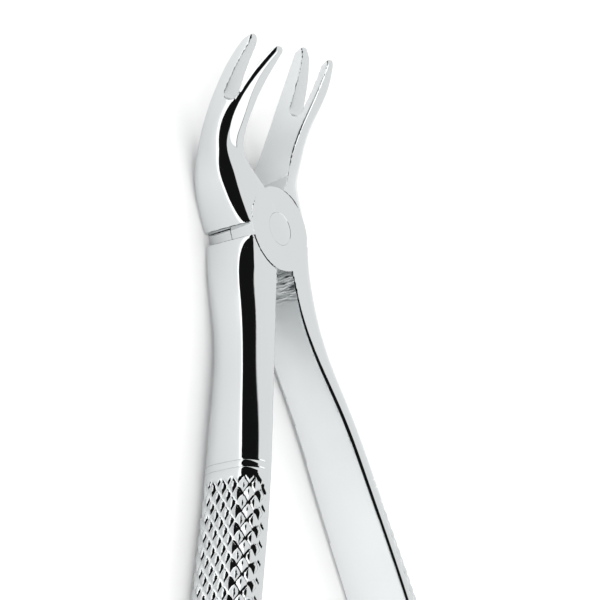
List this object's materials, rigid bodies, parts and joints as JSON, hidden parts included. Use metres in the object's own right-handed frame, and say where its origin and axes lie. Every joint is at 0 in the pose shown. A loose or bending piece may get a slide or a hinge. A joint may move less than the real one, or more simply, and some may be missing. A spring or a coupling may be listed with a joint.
{
  "type": "extraction forceps",
  "caption": "Hinged dental extraction forceps with curved forked beaks, a round lap joint and long grip handles.",
  "frame": {"origin": "on the pivot axis, at the joint's back face, on which the forceps lies", "axes": "+X from the pivot towards the beaks, +Y towards the front half's beak, +Z from the joint's back face to its front face"},
  "size_m": [0.1741, 0.0852, 0.0229],
  "materials": {
    "polished_steel": "mirror-polished stainless steel",
    "rivet_steel": "polished stainless steel, ground flush"
  },
  "bodies": {
    "rear": {"rear_half": "polished_steel", "pivot_rivet": "rivet_steel"},
    "front": {"front_half": "polished_steel"}
  },
  "joints": [
    {"name": "jaw_hinge", "type": "hinge", "parent": "rear", "child": "front", "pos_m": [0, 0, 0], "axis": [0, 0, 1], "range_deg": [-21, 13.5]}
  ]
}
